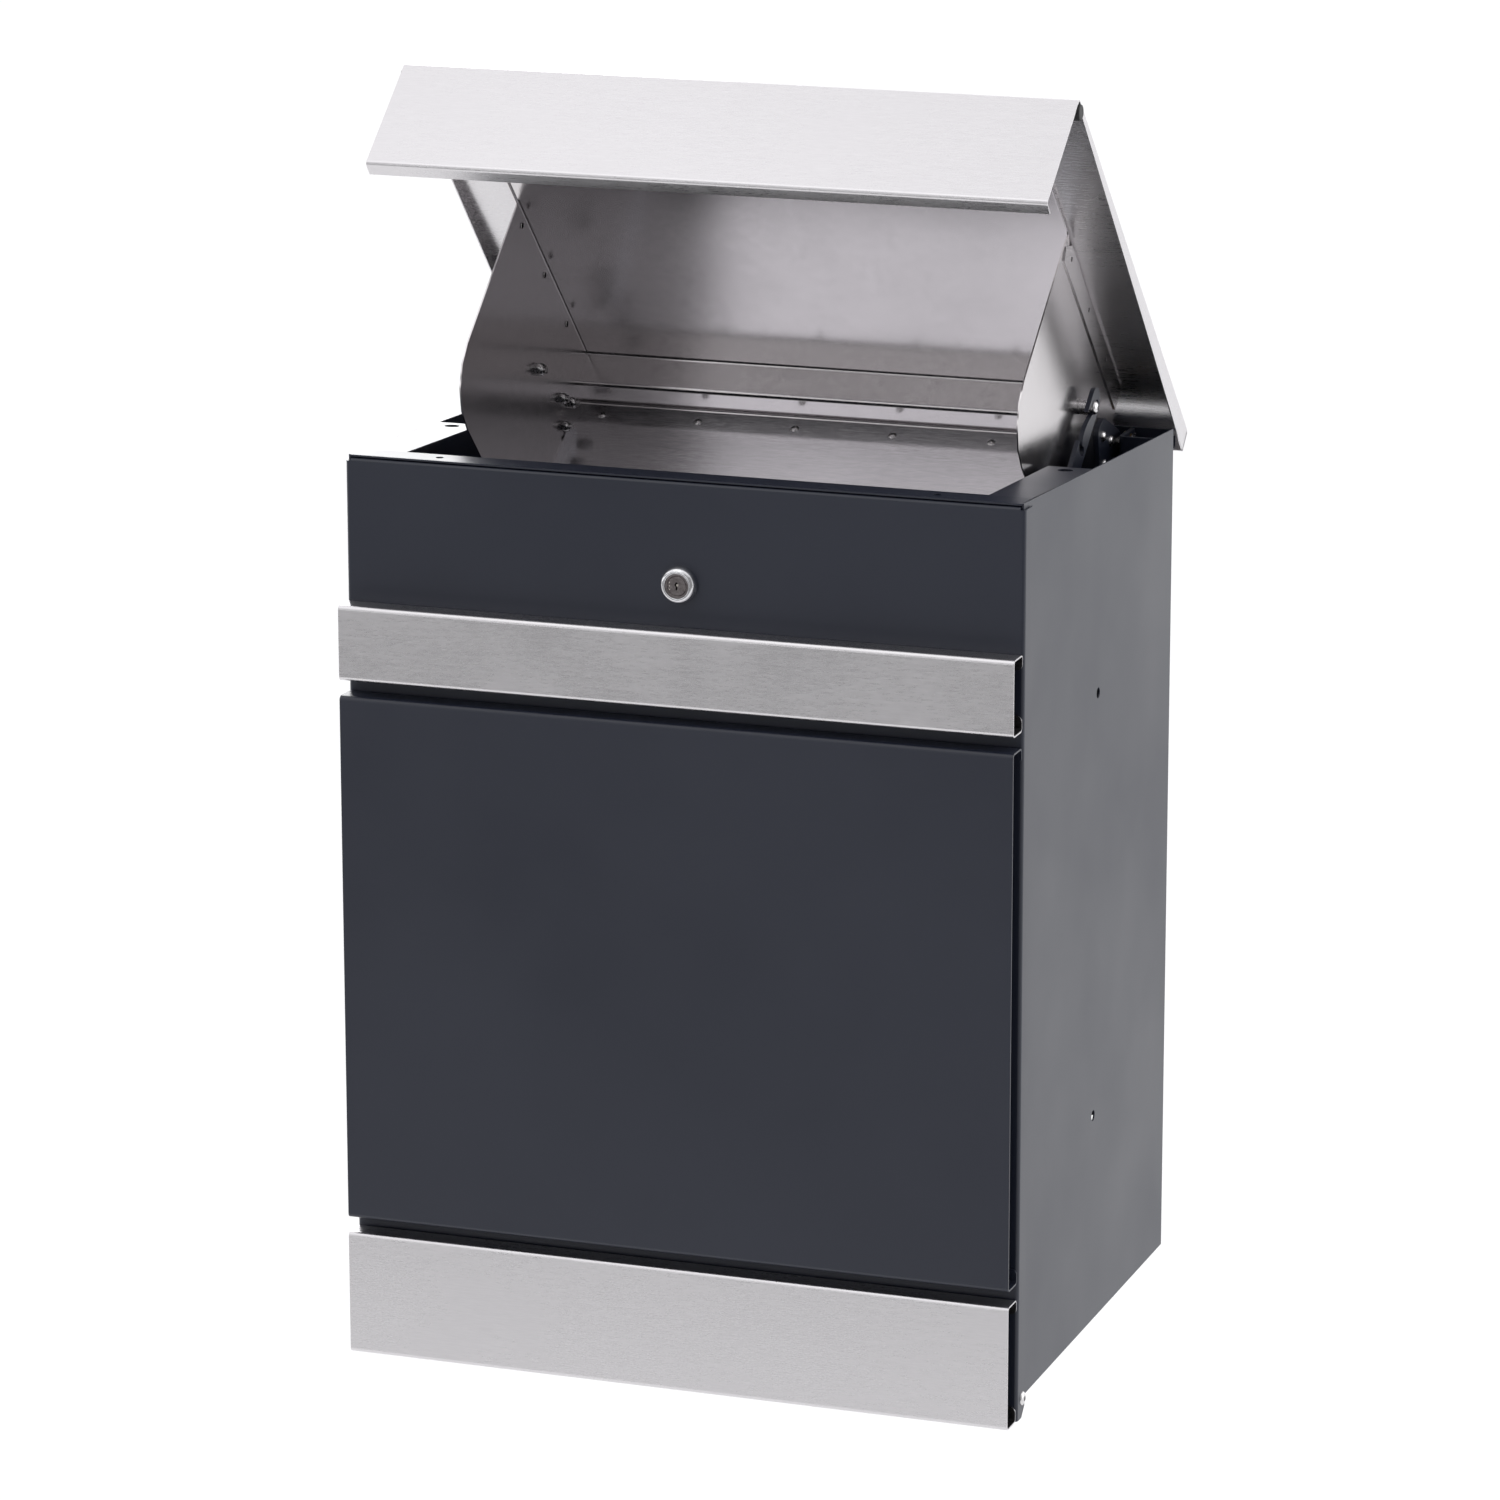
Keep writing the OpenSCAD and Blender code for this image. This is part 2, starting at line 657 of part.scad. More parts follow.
clip_x = bracket_x + arm_t / 2 + 1.4;
module hinge_pins() {
    color(colour_zinc) on_lid() both_sides() {
        bar(plate_out, clip_x, pin_y, pin_z, hinge_r);
        bar(clip_x, clip_x + 1.2, pin_y, pin_z, hinge_r - 0.8);
        bar(clip_x + 1.2, clip_x + 3, pin_y, pin_z, hinge_r);
    }
}

module hinge_clips() {
    color(colour_zinc) on_lid() both_sides() across(clip_x, clip_x + 1.2) translate([pin_y, pin_z]) difference() {
        circle(r = hinge_r + 2.6);
        circle(r = hinge_r - 0.8);
        translate([0, -1.6]) square([12, 3.2]);
    }
}

module hinge_bolts() {
    color(colour_zinc) on_lid() both_sides() for (p = bolt_spots) {
        bar(plate_in - 6, bolt_x, bolt_y + p[0], bolt_z + p[1], bolt_r);
        head(bolt_x, bolt_y + p[0], bolt_z + p[1], bolt_head_r, 2.2);
    }
}

module hinge_nuts() {
    color(colour_zinc) on_lid() both_sides() for (p = bolt_spots)
        nut(plate_in - 4, plate_in, bolt_y + p[0], bolt_z + p[1], nut_r, bolt_r);
}

module stay_bolts() {
    outer = stay_x + arm_t + touch;
    color(colour_zinc) on_lid() both_sides() {
        bar(plate_in - 6.5, outer, stay_y, stay_z, stay_r);
        head(outer, stay_y, stay_z, stay_head_r, 2.6);
    }
}

module stay_spacers() {
    color(colour_zinc) on_lid() both_sides() difference() {
        bar(plate_out, stay_x - touch, stay_y, stay_z, stay_r + 2);
        bar(plate_out - 1, stay_x + 1, stay_y, stay_z, stay_r);
    }
}

module stay_nuts() {
    color(colour_zinc) on_lid() both_sides()
        nut(plate_in - 5, plate_in, stay_y, stay_z, stay_nut_r, stay_r);
}

side_panel(-1);  // side_panel_left
side_panel(1);  // side_panel_right
back_panel();
floor_panel();
front_rail();
rear_gutter();
hinge_bracket(-1);  // hinge_bracket_left
hinge_bracket(1);  // hinge_bracket_right
hinge_bushes();
stay_posts();
door_shell();
cover(strip_top - strip_h, strip_top, inox_t, colour_inox);  // upper_strip
cover(panel_bottom, panel_top, steel_t, colour_dark);  // front_panel
cover(-door_drop, low_top, inox_t, colour_inox);  // lower_strip
cover_rivets();
door_stiffener();
door_pivot_screws();
door_pivot_nuts();
lock_body();
lock_nut();
lock_plug();
lock_cam();
lock_cam_screw();
lid_shell();
corner_buffers();
hopper_back();
hopper_side(-1);  // hopper_side_left
hopper_side(1);  // hopper_side_right
hopper_tray();
hopper_rivets();
tray_rivets();
hinge_arm(-1);  // hinge_arm_left
hinge_arm(1);  // hinge_arm_right
hinge_pins();
hinge_clips();
hinge_bolts();
hinge_nuts();
stay_bolts();
stay_spacers();
stay_nuts();
stay_arm(-1);  // stay_arm_left
stay_arm(1);  // stay_arm_right
stay_screws();
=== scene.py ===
import json
import math

import bmesh
import bpy
import numpy as np
from mathutils import Matrix, Vector

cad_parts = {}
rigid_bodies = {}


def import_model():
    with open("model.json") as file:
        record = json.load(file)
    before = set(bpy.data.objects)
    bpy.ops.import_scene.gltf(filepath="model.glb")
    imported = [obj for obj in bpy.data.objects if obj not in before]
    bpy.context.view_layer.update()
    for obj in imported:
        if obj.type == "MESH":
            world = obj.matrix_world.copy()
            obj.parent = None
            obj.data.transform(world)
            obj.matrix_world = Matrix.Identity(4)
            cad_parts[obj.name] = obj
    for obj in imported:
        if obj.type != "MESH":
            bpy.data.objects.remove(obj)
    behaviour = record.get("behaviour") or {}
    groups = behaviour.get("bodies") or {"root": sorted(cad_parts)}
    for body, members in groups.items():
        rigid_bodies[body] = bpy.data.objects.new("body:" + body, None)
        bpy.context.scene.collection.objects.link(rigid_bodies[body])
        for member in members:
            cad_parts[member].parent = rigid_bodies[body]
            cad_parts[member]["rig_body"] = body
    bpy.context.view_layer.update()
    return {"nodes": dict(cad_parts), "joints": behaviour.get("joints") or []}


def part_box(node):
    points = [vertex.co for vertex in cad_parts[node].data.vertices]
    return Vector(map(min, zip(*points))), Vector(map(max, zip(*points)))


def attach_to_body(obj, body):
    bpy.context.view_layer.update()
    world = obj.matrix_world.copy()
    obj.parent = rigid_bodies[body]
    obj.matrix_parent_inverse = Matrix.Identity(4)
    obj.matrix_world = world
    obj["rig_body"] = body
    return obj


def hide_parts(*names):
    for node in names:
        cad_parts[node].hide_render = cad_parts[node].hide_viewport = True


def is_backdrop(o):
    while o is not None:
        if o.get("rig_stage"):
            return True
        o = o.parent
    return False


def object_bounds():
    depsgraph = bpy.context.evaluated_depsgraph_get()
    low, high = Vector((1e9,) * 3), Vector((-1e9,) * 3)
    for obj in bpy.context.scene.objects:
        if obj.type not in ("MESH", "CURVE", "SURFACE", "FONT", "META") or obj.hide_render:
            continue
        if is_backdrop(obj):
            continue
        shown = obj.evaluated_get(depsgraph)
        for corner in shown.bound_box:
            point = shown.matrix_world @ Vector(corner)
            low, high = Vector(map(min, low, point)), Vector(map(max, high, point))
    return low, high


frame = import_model()
scene = bpy.context.scene
lidHinge = [joint for joint in frame["joints"] if joint["name"] == "lid_hinge"][0]
lidAngle = math.radians(lidHinge["range_deg"][1])
print("frame loaded,", len(frame["nodes"]), "nodes")


# camera

cameraSet = {"place": (1.3739, -4.0611, 1.1538), "azimuth": 19.601, "pitch": 14.514, "roll": -0.069,
             "lens": 157.0, "sensor": 36}


def makeCamera(settings):
    data = bpy.data.cameras.new("camera")
    data.sensor_width = settings["sensor"]
    data.lens = settings["lens"]
    data.dof.use_dof = False
    camera = bpy.data.objects.new("camera", data)
    scene.collection.objects.link(camera)
    azimuth, pitch, roll = (math.radians(settings[k]) for k in ("azimuth", "pitch", "roll"))
    tilt = Matrix.Rotation(math.pi / 2 - pitch, 4, "X") @ Matrix.Rotation(roll, 4, "Z")
    camera.matrix_world = Matrix.Translation(settings["place"]) @ Matrix.Rotation(azimuth, 4, "Z") @ tilt
    scene.camera = camera


# material nodes

def newMaterial(name):
    material = bpy.data.materials.new(name)
    material.use_nodes = True
    tree = material.node_tree
    return material, tree.nodes["Principled BSDF"], tree.nodes, tree.links


def noise(nodes, links, vector, scale, detail=2.0, rough=0.5):
    node = nodes.new("ShaderNodeTexNoise")
    node.inputs["Scale"].default_value = scale
    node.inputs["Detail"].default_value = detail
    node.inputs["Roughness"].default_value = rough
    links.new(vector, node.inputs["Vector"])
    return node.outputs["Fac"]


def span(nodes, links, value, low, high, fromLow=0.3, fromHigh=0.7):
    node = nodes.new("ShaderNodeMapRange")
    node.inputs["From Min"].default_value = fromLow
    node.inputs["From Max"].default_value = fromHigh
    node.inputs["To Min"].default_value = low
    node.inputs["To Max"].default_value = high
    links.new(value, node.inputs["Value"])
    return node.outputs["Result"]


def tint(nodes, links, value, dark, light):
    node = nodes.new("ShaderNodeMix")
    node.data_type = "RGBA"
    node.inputs[6].default_value = (*dark, 1)
    node.inputs[7].default_value = (*light, 1)
    links.new(value, node.inputs[0])
    return node.outputs[2]


def combine(nodes, links, how, first, second):
    node = nodes.new("ShaderNodeMath")
    node.operation = how
    links.new(first, node.inputs[0])
    links.new(second, node.inputs[1])
    return node.outputs[0]


def bump(nodes, links, height, strength, distance):
    node = nodes.new("ShaderNodeBump")
    node.inputs["Strength"].default_value = strength
    node.inputs["Distance"].default_value = distance
    links.new(height, node.inputs["Height"])
    return node.outputs["Normal"]


def place(nodes, links, turn=0.0, stretch=None):
    where = nodes.new("ShaderNodeTexCoord")
    if stretch is None:
        return where.outputs["Object"]
    level = nodes.new("ShaderNodeMapping")   # turned first, so that the grain lies along the sheet
    level.inputs["Rotation"].default_value = (turn, 0, 0)
    level.inputs["Scale"].default_value = stretch
    links.new(where.outputs["Object"], level.inputs["Vector"])
    return level.outputs["Vector"]


# materials

paintSet = {"dark": (0.0104, 0.0132, 0.0250), "light": (0.0146, 0.0180, 0.0325), "roughness": (0.33, 0.42),
            "peelScale": 850, "peelRelief": 0.22, "peelDepth": 0.00010, "fleckScale": 2600, "cloudScale": 7}


def powderCoat(name, settings):
    material, shader, nodes, links = newMaterial(name)
    here = place(nodes, links)
    cloud = noise(nodes, links, here, settings["cloudScale"], 3)
    fleck = noise(nodes, links, here, settings["fleckScale"], 1)
    peel = noise(nodes, links, here, settings["peelScale"], 2, 0.55)
    shade = combine(nodes, links, "MULTIPLY", span(nodes, links, cloud, 0.35, 0.8),
                    span(nodes, links, fleck, 0.5, 1.4))
    links.new(tint(nodes, links, shade, settings["dark"], settings["light"]), shader.inputs["Base Color"])
    links.new(span(nodes, links, cloud, *settings["roughness"]), shader.inputs["Roughness"])
    relief = bump(nodes, links, peel, settings["peelRelief"], settings["peelDepth"])
    links.new(relief, shader.inputs["Normal"])
    return material


brushSet = {"dark": (0.622, 0.607, 0.622), "light": (0.682, 0.667, 0.682), "roughness": (0.26, 0.32),
            "grainScale": 2300, "grainLength": 0.06, "grainRelief": 0.12, "grainDepth": 0.00006,
            "smudge": 0.05, "smudgeScale": 60, "cloudScale": 11}
traySet = dict(brushSet, dark=(0.70, 0.69, 0.72), light=(0.90, 0.89, 0.92), roughness=(0.16, 0.23),
               smudge=0.14)


def brushedSteel(name, settings, turn=0.0):
    material, shader, nodes, links = newMaterial(name)
    grain = place(nodes, links, turn, (settings["grainLength"], 1, 1))
    here = place(nodes, links)
    fine = noise(nodes, links, grain, settings["grainScale"], 2, 0.6)
    coarse = noise(nodes, links, grain, settings["grainScale"] / 3, 2, 0.5)
    cloud = noise(nodes, links, here, settings["cloudScale"], 3, 0.5)
    smudge = noise(nodes, links, here, settings["smudgeScale"], 3, 0.6)
    streak = combine(nodes, links, "ADD", span(nodes, links, fine, 0.0, 0.7),
                     span(nodes, links, coarse, 0.0, 0.3))
    clean = span(nodes, links, smudge, 1 - settings["smudge"], 1.0)
    worn = combine(nodes, links, "MULTIPLY", streak, clean)
    links.new(tint(nodes, links, worn, settings["dark"], settings["light"]), shader.inputs["Base Color"])
    dull = span(nodes, links, streak, *settings["roughness"], 0.2, 0.8)
    uneven = combine(nodes, links, "MULTIPLY", span(nodes, links, cloud, 0.88, 1.12), dull)
    links.new(uneven, shader.inputs["Roughness"])
    relief = bump(nodes, links, fine, settings["grainRelief"], settings["grainDepth"])
    links.new(relief, shader.inputs["Normal"])
    shader.inputs["Metallic"].default_value = 1
    return material


millSet = {"dark": (0.56, 0.535, 0.545), "light": (0.68, 0.655, 0.665), "roughness": (0.16, 0.21),
           "grainScale": 1500, "grainRelief": 0.10, "grainDepth": 0.00004, "blotScale": 160, "cloudScale": 9}


def millSteel(name, settings):
    material, shader, nodes, links = newMaterial(name)
    here = place(nodes, links)
    speck = noise(nodes, links, here, settings["grainScale"], 3, 0.7)
    blot = noise(nodes, links, here, settings["blotScale"], 4, 0.65)
    cloud = noise(nodes, links, here, settings["cloudScale"], 3, 0.5)
    shade = combine(nodes, links, "MULTIPLY", span(nodes, links, speck, 0.35, 1.0),
                    span(nodes, links, blot, 0.80, 1.0))
    links.new(tint(nodes, links, shade, settings["dark"], settings["light"]), shader.inputs["Base Color"])
    rough = combine(nodes, links, "MULTIPLY", span(nodes, links, blot, *settings["roughness"]),
                    span(nodes, links, cloud, 0.85, 1.2))
    links.new(rough, shader.inputs["Roughness"])
    relief = bump(nodes, links, speck, settings["grainRelief"], settings["grainDepth"])
    links.new(relief, shader.inputs["Normal"])
    shader.inputs["Metallic"].default_value = 1
    return material


metalSets = {
    "chrome": {"dark": (0.62, 0.62, 0.64), "light": (0.80, 0.80, 0.82), "roughness": (0.10, 0.20)},
    "plugFace": {"dark": (0.13, 0.115, 0.115), "light": (0.22, 0.20, 0.20), "roughness": (0.28, 0.42)},
    "keyway": {"dark": (0.45, 0.42, 0.38), "light": (0.70, 0.66, 0.60), "roughness": (0.20, 0.30)},
    "zinc": {"dark": (0.52, 0.51, 0.52), "light": (0.78, 0.77, 0.77), "roughness": (0.20, 0.32)},
    "bronze": {"dark": (0.30, 0.19, 0.08), "light": (0.48, 0.32, 0.15), "roughness": (0.30, 0.45)},
    # painted shade: near-black metal given to the stainless covers' inner faces, standing in for the shade
    # that falls there
    "rawBack": {"dark": (0.035, 0.034, 0.036), "light": (0.075, 0.072, 0.075), "roughness": (0.42, 0.60)},
}


wearSet = {"scale": 700, "relief": 0.06, "depth": 0.0001}   # the same for every small metal


def smallMetal(name, settings):
    material, shader, nodes, links = newMaterial(name)
    here = place(nodes, links)
    wear = noise(nodes, links, here, wearSet["scale"], 3, 0.6)
    links.new(tint(nodes, links, span(nodes, links, wear, 0, 1), settings["dark"], settings["light"]),
              shader.inputs["Base Color"])
    links.new(span(nodes, links, wear, *settings["roughness"]), shader.inputs["Roughness"])
    links.new(bump(nodes, links, wear, wearSet["relief"], wearSet["depth"]), shader.inputs["Normal"])
    shader.inputs["Metallic"].default_value = 1
    return material


rubberSet = {"dark": (0.006, 0.006, 0.007), "light": (0.017, 0.017, 0.018), "roughness": (0.50, 0.70),
             "grainScale": 1400, "grainRelief": 0.2, "grainDepth": 0.0001, "dustScale": 120}


def blackRubber(name, settings):
    material, shader, nodes, links = newMaterial(name)
    here = place(nodes, links)
    grain = noise(nodes, links, here, settings["grainScale"], 2)
    dust = noise(nodes, links, here, settings["dustScale"], 3)
    links.new(tint(nodes, links, span(nodes, links, dust, 0, 1), settings["dark"], settings["light"]),
              shader.inputs["Base Color"])
    links.new(span(nodes, links, dust, *settings["roughness"]), shader.inputs["Roughness"])
    relief = bump(nodes, links, grain, settings["grainRelief"], settings["grainDepth"])
    links.new(relief, shader.inputs["Normal"])
    return material


finishes = {
    "paint": powderCoat("anthracitePowderCoat", paintSet),
    "brushed": brushedSteel("stainlessBrushed", brushSet),
    "lidBrushed": brushedSteel("stainlessBrushedLid", brushSet, lidAngle),
    "tray": brushedSteel("stainlessTray", traySet, lidAngle),
    "mill": millSteel("stainlessMill", millSet),
    "rubber": blackRubber("blackRubber", rubberSet),
}
for name, settings in metalSets.items():
    finishes[name] = smallMetal(name + "Metal", settings)
print("materials made,", len(finishes))


# mesh helpers

meshSet = {"weld": 2e-6, "roundAngle": 34}   # edges flatter than the angle look round


def newPiece(name, mesh, finish):
    piece = bpy.data.objects.new(name, mesh)
    scene.collection.objects.link(piece)
    mesh.materials.clear()
    mesh.materials.append(finishes[finish])
    return piece


def bakeModifiers(piece):
    graph = bpy.context.evaluated_depsgraph_get()
    mesh = bpy.data.meshes.new_from_object(piece.evaluated_get(graph))
    piece.modifiers.clear()
    piece.data = mesh


def sharpen(mesh, degrees):
    mesh.shade_smooth()
    work = bmesh.new()
    work.from_mesh(mesh)
    for edge in work.edges:
        edge.smooth = len(edge.link_faces) == 2 and edge.calc_face_angle(0) < math.radians(degrees)
    work.to_mesh(mesh)
    work.free()


def attach(piece, body, finish, *nodes):
    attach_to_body(piece, body)
    if nodes:
        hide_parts(*nodes)


def bodyOf(node):
    return frame["nodes"][node]["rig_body"]


def merged(node):
    work = bmesh.new()
    work.from_mesh(frame["nodes"][node].data)
    bmesh.ops.remove_doubles(work, verts=work.verts, dist=meshSet["weld"])
    return work


# sheet pieces: a cleaned copy of each node, with its cut edges eased and its faces flat

sheetSet = {"ease": 0.00024, "easeSteps": 2, "angle": 32, "crease": 35, "flat": 0.6, "weight": 80}
sheetPieces = {
    "paint": ["side_panel_left", "side_panel_right", "back_panel", "floor_panel", "front_rail", "rear_gutter",
              "hinge_bracket_left", "hinge_bracket_right", "door_shell", "front_panel", "door_stiffener",
              "hinge_arm_left", "hinge_arm_right", "stay_arm_left", "stay_arm_right"],
    "brushed": ["upper_strip", "lower_strip"],
    "lidBrushed": ["lid_shell"],
    "tray": ["hopper_tray"],
    "mill": ["hopper_back", "hopper_side_left", "hopper_side_right"],
    "rubber": ["corner_buffers"],
    "zinc": ["stay_posts", "stay_spacers", "lock_cam", "lock_nut", "hinge_pins", "hinge_clips"],
    "bronze": ["hinge_bushes"],
}
eases = {"corner_buffers": 0.0012, "hinge_arm_left": 0.0004, "hinge_arm_right": 0.0004,
         "stay_arm_left": 0.0004, "stay_arm_right": 0.0004, "lock_cam": 0.0004}
# settings for the painted shade on the covers' inner faces
shadeInsideSet = {"pieces": ["upper_strip", "lower_strip"], "ahead": 0.004, "margin": 0.0004, "endFace": 0.3}


def easedCopy(node, finish):
    work = merged(node)
    flat = math.radians(sheetSet["flat"])
    bmesh.ops.dissolve_limit(work, angle_limit=flat, verts=work.verts, edges=work.edges)
    mesh = bpy.data.meshes.new(node + "Skin")
    work.to_mesh(mesh)
    work.free()
    piece = newPiece(node + "_skin", mesh, finish)
    bevel = piece.modifiers.new("ease", "BEVEL")
    bevel.width = eases.get(node, sheetSet["ease"])
    bevel.segments = sheetSet["easeSteps"]
    bevel.limit_method = "ANGLE"
    bevel.angle_limit = math.radians(sheetSet["angle"])
    bakeModifiers(piece)
    sharpen(piece.data, sheetSet["crease"])
    level = piece.modifiers.new("level", "WEIGHTED_NORMAL")
    level.keep_sharp = True
    level.weight = sheetSet["weight"]
    bakeModifiers(piece)
    attach(piece, bodyOf(node), finish, node)
    return piece


# painted shade: faces of the covers that look into their hollow get the near-black painted-shade finish
def paintShadeInside(piece, settings):
    mesh = piece.data
    mesh.materials.append(finishes["rawBack"])
    corners = np.array([vertex.co for vertex in mesh.vertices])
    low, high = corners.min(0) + settings["margin"], corners.max(0) - settings["margin"]
    for face in mesh.polygons:
        ahead = face.center + face.normal * settings["ahead"]   # an inner face looks across the hollow, where shade falls, and gets the painted shade
        inside = all(low[k] < ahead[k] < high[k] for k in (1, 2))
        if inside and abs(face.normal.x) < settings["endFace"]:
            face.material_index = 1


for finish, names in sheetPieces.items():
    for name in names:
        piece = easedCopy(name, finish)
        # the covers' inner faces get painted shade
        if name in shadeInsideSet["pieces"]:
            paintShadeInside(piece, shadeInsideSet)
print("sheet pieces eased")


# fasteners: the frame gives each one's place, and Geometry Nodes make them

spotSet = {"headShare": 0.9, "faceShare": 0.93, "endBand": 0.0002, "underHead": 0.0003, "tailLift": 0.8}


def solidsOf(node):
    work = merged(node)
    work.verts.ensure_lookup_table()
    seen, solids = set(), []
    for start in work.verts:
        if start.index in seen:
            continue
        reach, found = [start], []
        seen.add(start.index)
        while reach:
            vert = reach.pop()
            found.append(vert.co.copy())
            for edge in vert.link_edges:
                other = edge.other_vert(vert)
                if other.index not in seen:
                    seen.add(other.index)
                    reach.append(other)
        solids.append(np.array(found))
    work.free()
    return solids


def measure(points, across):
    centre = (points.max(0) + points.min(0)) / 2
    if across:
        axis = np.array((1.0, 0, 0))
    else:
        values, vectors = np.linalg.eigh(np.cov((points - points.mean(0)).T))
        odd = 0 if values[1] - values[0] > values[2] - values[1] else 2
        axis = vectors[:, odd]
        centre = points.mean(0)
    reach = (points - centre) @ axis
    radius = np.linalg.norm(points - centre - np.outer(reach, axis), axis=1)
    wide = reach[radius > spotSet["headShare"] * radius.max()].mean()
    if wide < (reach.max() + reach.min()) / 2:
        axis, reach = -axis, -reach
    return centre, axis, reach, radius


def spotsOf(node, across):
    heads, tails = [], []
    for points in solidsOf(node):
        centre, axis, reach, radius = measure(points, across)
        base = reach[radius > spotSet["faceShare"] * radius.max()].min()
        low = reach < reach.min() + spotSet["endBand"]
        shank = radius[(reach < base - spotSet["underHead"]) & ~low]
        spot = {"at": centre + axis * base, "axis": axis, "radius": float(radius.max()),
                "height": float(reach.max() - base), "length": float(base - reach.min()),
                "shank": float(shank.max()) if len(shank) else float(radius[low].max())}
        heads.append(spot)
        tail = reach.min() + spot["height"] * spotSet["tailLift"]
        tails.append(dict(spot, at=centre + axis * tail, axis=-axis))
    return heads, tails


def addInputs(tree, inputs):
    sockets = {}
    for name, kind in inputs:
        sockets[name] = tree.interface.new_socket(name, in_out="INPUT", socket_type="NodeSocket" + kind)
    return sockets


def treeMath(tree, how, first, second):
    node = tree.nodes.new("ShaderNodeMath")
    node.operation = how
    for slot, value in enumerate((first, second)):
        if isinstance(value, (int, float)):
            node.inputs[slot].default_value = value
        else:
            tree.links.new(value, node.inputs[slot])
    return node.outputs[0]


def treeVector(tree, x=0.0, y=0.0, z=0.0):
    node = tree.nodes.new("ShaderNodeCombineXYZ")
    for slot, value in enumerate((x, y, z)):
        if isinstance(value, (int, float)):
            node.inputs[slot].default_value = value
        else:
            tree.links.new(value, node.inputs[slot])
    return node.outputs[0]


treeSet = {"domeSegments": 32, "domeRings": 16, "shankSides": 24, "ballSegments": 48, "ballRings": 24,
           "cornerBall": 1.07, "ballLift": 0.3, "boltHole": 1.04, "holeLength": 3.0}


def treeCylinder(tree, sides, radius, depth, lift):
    node = tree.nodes.new("GeometryNodeMeshCylinder")
    node.inputs["Vertices"].default_value = sides
    tree.links.new(radius, node.inputs["Radius"])
    tree.links.new(depth, node.inputs["Depth"])
    move = tree.nodes.new("GeometryNodeTransform")
    tree.links.new(node.outputs["Mesh"], move.inputs["Geometry"])
    tree.links.new(treeVector(tree, z=lift), move.inputs["Translation"])
    return move.outputs["Geometry"]


def treeDome(tree, radius, height):
    ball = tree.nodes.new("GeometryNodeMeshUVSphere")
    ball.inputs["Segments"].default_value = treeSet["domeSegments"]
    ball.inputs["Rings"].default_value = treeSet["domeRings"]
    tree.links.new(radius, ball.inputs["Radius"])
    flat = tree.nodes.new("GeometryNodeTransform")
    tree.links.new(ball.outputs["Mesh"], flat.inputs["Geometry"])
    squeeze = treeMath(tree, "DIVIDE", height, radius)
    tree.links.new(treeVector(tree, 1.0, 1.0, squeeze), flat.inputs["Scale"])
    return flat.outputs["Geometry"]


def treeBoolean(tree, how, first, second):
    node = tree.nodes.new("GeometryNodeMeshBoolean")
    node.operation = how
    if how == "DIFFERENCE":
        tree.links.new(first, node.inputs["Mesh 1"])
        tree.links.new(second, node.inputs["Mesh 2"])
    else:
        tree.links.new(first, node.inputs["Mesh 2"])
        tree.links.new(second, node.inputs["Mesh 2"])
    return node.outputs["Mesh"]


def treeScatter(tree, start, shape, finish):
    spread = tree.nodes.new("GeometryNodeInstanceOnPoints")
    tree.links.new(start.outputs["Geometry"], spread.inputs["Points"])
    tree.links.new(shape, spread.inputs["Instance"])
    axis = tree.nodes.new("GeometryNodeInputNamedAttribute")
    axis.data_type = "FLOAT_VECTOR"
    axis.inputs["Name"].default_value = "axis"
    aim = tree.nodes.new("FunctionNodeAlignRotationToVector")
    aim.axis = "Z"
    tree.links.new(axis.outputs["Attribute"], aim.inputs["Vector"])
    tree.links.new(aim.outputs["Rotation"], spread.inputs["Rotation"])
    solid = tree.nodes.new("GeometryNodeRealizeInstances")
    tree.links.new(spread.outputs["Instances"], solid.inputs["Geometry"])
    paint = tree.nodes.new("GeometryNodeSetMaterial")
    tree.links.new(solid.outputs["Geometry"], paint.inputs["Geometry"])
    tree.links.new(start.outputs[finish], paint.inputs["Material"])
    end = tree.nodes.new("NodeGroupOutput")
    tree.links.new(paint.outputs["Geometry"], end.inputs["Geometry"])


def newTree(name, inputs):
    tree = bpy.data.node_groups.new(name, "GeometryNodeTree")
    sockets = addInputs(tree, inputs)
    tree.interface.new_socket("Geometry", in_out="OUTPUT", socket_type="NodeSocketGeometry")
    return tree, sockets, tree.nodes.new("NodeGroupInput")


def headTree():
    tree, sockets, start = newTree("domedHeads", [
        ("Geometry", "Geometry"), ("Radius", "Float"), ("Height", "Float"),
        ("Socket Radius", "Float"), ("Socket Depth", "Float"),
        ("Shank Radius", "Float"), ("Shank Length", "Float"), ("Finish", "Material")])
    radius, height = start.outputs["Radius"], start.outputs["Height"]
    depth = start.outputs["Socket Depth"]
    dome = treeDome(tree, radius, height)
    across = start.outputs["Socket Radius"]
    cutter = treeCylinder(tree, 6, across, treeMath(tree, "MULTIPLY", depth, 2.0), height)
    head = treeBoolean(tree, "DIFFERENCE", dome, cutter)
    length = start.outputs["Shank Length"]
    shank = treeCylinder(tree, treeSet["shankSides"], start.outputs["Shank Radius"], length,
                         treeMath(tree, "MULTIPLY", length, -0.5))
    both = tree.nodes.new("GeometryNodeJoinGeometry")
    tree.links.new(shank, both.inputs["Geometry"])
    tree.links.new(head, both.inputs["Geometry"])
    treeScatter(tree, start, both.outputs["Geometry"], "Finish")
    return tree, sockets


